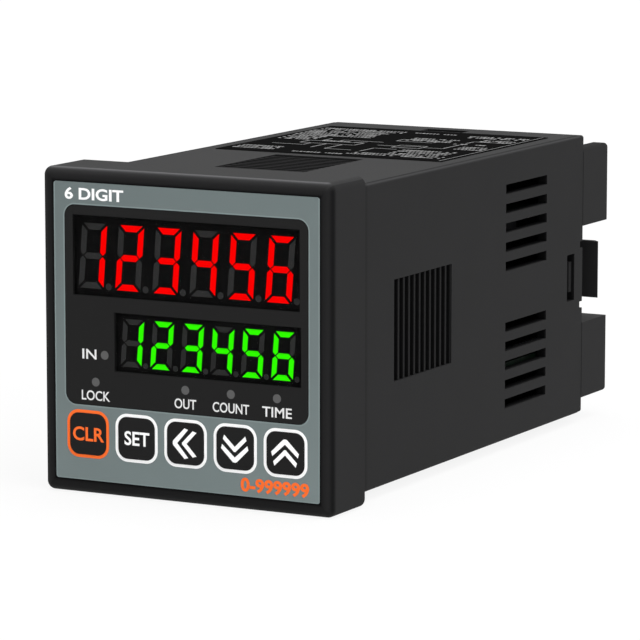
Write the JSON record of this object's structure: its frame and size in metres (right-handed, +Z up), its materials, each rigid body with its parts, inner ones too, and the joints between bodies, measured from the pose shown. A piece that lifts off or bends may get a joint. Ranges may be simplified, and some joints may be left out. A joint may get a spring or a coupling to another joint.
{
  "type": "panel counter",
  "caption": "Square panel-mount counter with two rows of LED digits, a row of push keys on a grey face, a deep vented case and screw terminals behind.",
  "frame": {"origin": "centre of the bezel's rear face, where it seats on the panel", "axes": "+Y into the panel, away from the keys; +Z up; +X right seen from the front"},
  "size_m": [0.048, 0.0986, 0.048],
  "materials": {
    "case_plastic": "fine moulded texture, dark grey",
    "sheet_print": "satin printed sheet, grey",
    "window_tint": "smooth tinted panel",
    "display_black": "matt black display face",
    "segment_red": "lit red segment",
    "segment_green": "lit green segment",
    "segment_dark": "unlit grey segment",
    "light_guide": "grey light guide, unlit",
    "key_plastic": "satin black key cap",
    "switch_plastic": "moulded switch",
    "board_laminate": "green laminate",
    "label_film": "printed black film",
    "header_plastic": "moulded header",
    "chip_plastic": "moulded package",
    "opto_plastic": "moulded package, off-white",
    "relay_plastic": "moulded relay cover, blue",
    "core_ferrite": "ground ferrite",
    "winding_copper": "enamelled copper winding",
    "capacitor_sleeve": "sleeved aluminium can",
    "contact_brass": "tin-plated brass",
    "screw_steel": "zinc-plated steel"
  },
  "bodies": {
    "counter": {"front_bezel": "case_plastic", "case": "case_plastic", "terminal_base": "case_plastic", "front_sheet": "sheet_print", "display_window": "window_tint", "upper_display": "display_black", "lower_display": "display_black", "upper_lit_segments": "segment_red", "lower_lit_segments": "segment_green", "upper_unlit_segments": "segment_dark", "lower_unlit_segments": "segment_dark", "indicator_lights": "light_guide", "key_switches": "switch_plastic", "display_board": "board_laminate", "logic_board": "board_laminate", "power_board": "board_laminate", "wiring_label": "label_film", "logic_header": "header_plastic", "power_header": "header_plastic", "microcontroller": "chip_plastic", "optocouplers": "opto_plastic", "output_relay": "relay_plastic", "transformer_core": "core_ferrite", "transformer_winding": "winding_copper", "filter_capacitor": "capacitor_sleeve", "terminal_contacts": "contact_brass", "terminal_screws": "screw_steel", "clamp_washers": "screw_steel"},
    "reset_button": {"reset_key": "key_plastic", "reset_plunger": "switch_plastic"},
    "mode_button": {"mode_key": "key_plastic", "mode_plunger": "switch_plastic"},
    "shift_button": {"shift_key": "key_plastic", "shift_plunger": "switch_plastic"},
    "down_button": {"down_key": "key_plastic", "down_plunger": "switch_plastic"},
    "up_button": {"up_key": "key_plastic", "up_plunger": "switch_plastic"}
  },
  "joints": [
    {"name": "reset_press", "type": "slide", "parent": "counter", "child": "reset_button", "axis": [0, 1, 0], "range_m": [0, 0.0003], "stiffness_N_per_m": 500},
    {"name": "mode_press", "type": "slide", "parent": "counter", "child": "mode_button", "axis": [0, 1, 0], "range_m": [0, 0.0003], "stiffness_N_per_m": 500},
    {"name": "shift_press", "type": "slide", "parent": "counter", "child": "shift_button", "axis": [0, 1, 0], "range_m": [0, 0.0003], "stiffness_N_per_m": 500},
    {"name": "down_press", "type": "slide", "parent": "counter", "child": "down_button", "axis": [0, 1, 0], "range_m": [0, 0.0003], "stiffness_N_per_m": 500},
    {"name": "up_press", "type": "slide", "parent": "counter", "child": "up_button", "axis": [0, 1, 0], "range_m": [0, 0.0003], "stiffness_N_per_m": 500}
  ]
}
